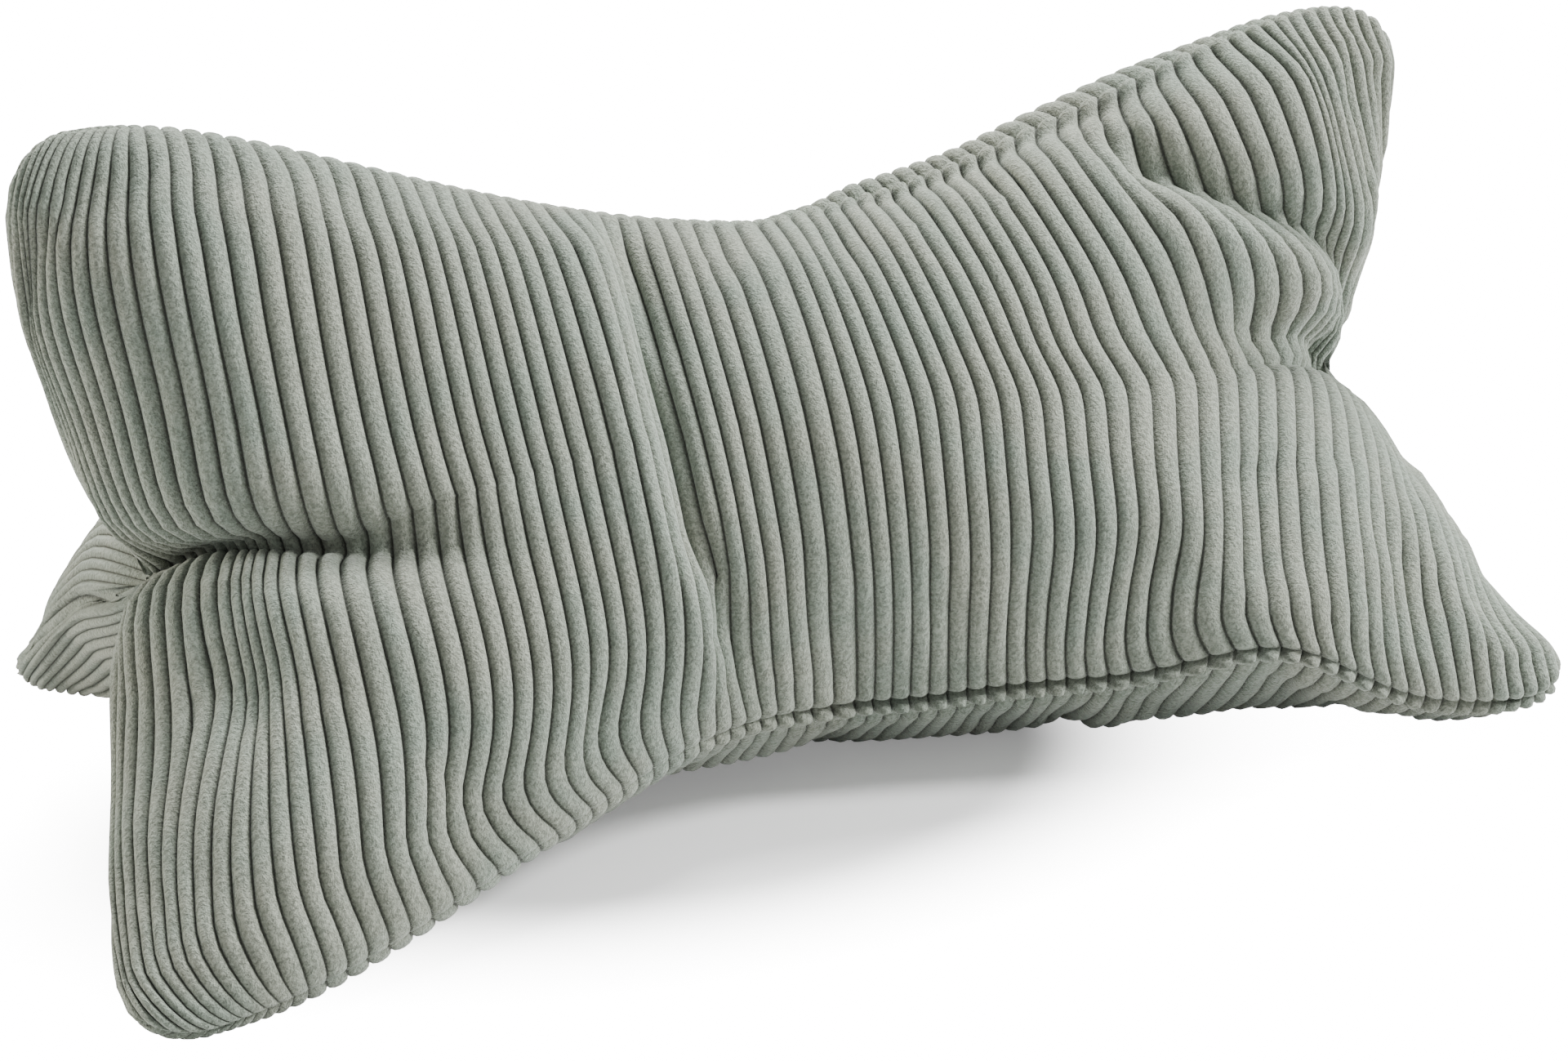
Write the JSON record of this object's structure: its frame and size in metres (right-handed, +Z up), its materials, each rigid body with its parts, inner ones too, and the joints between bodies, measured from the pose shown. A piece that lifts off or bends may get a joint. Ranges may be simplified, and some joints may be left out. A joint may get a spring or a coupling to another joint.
{
  "type": "bone-shaped neck pillow",
  "caption": "Bone-shaped neck pillow of three equal corduroy panels sewn edge to edge round one filled body, narrow at the waist, with an ear at each end of every seam.",
  "frame": {"origin": "middle of the bounding box in plan, at the floor on which the pillow rests", "axes": "+X along the pillow, -Y towards the front panel, +Z up through the top seam"},
  "size_m": [0.4408, 0.2472, 0.2008],
  "materials": {
    "corduroy": "wide-wale corduroy with a soft velvety pile"
  },
  "bodies": {
    "root": {"pillow": "corduroy"}
  },
  "joints": []
}
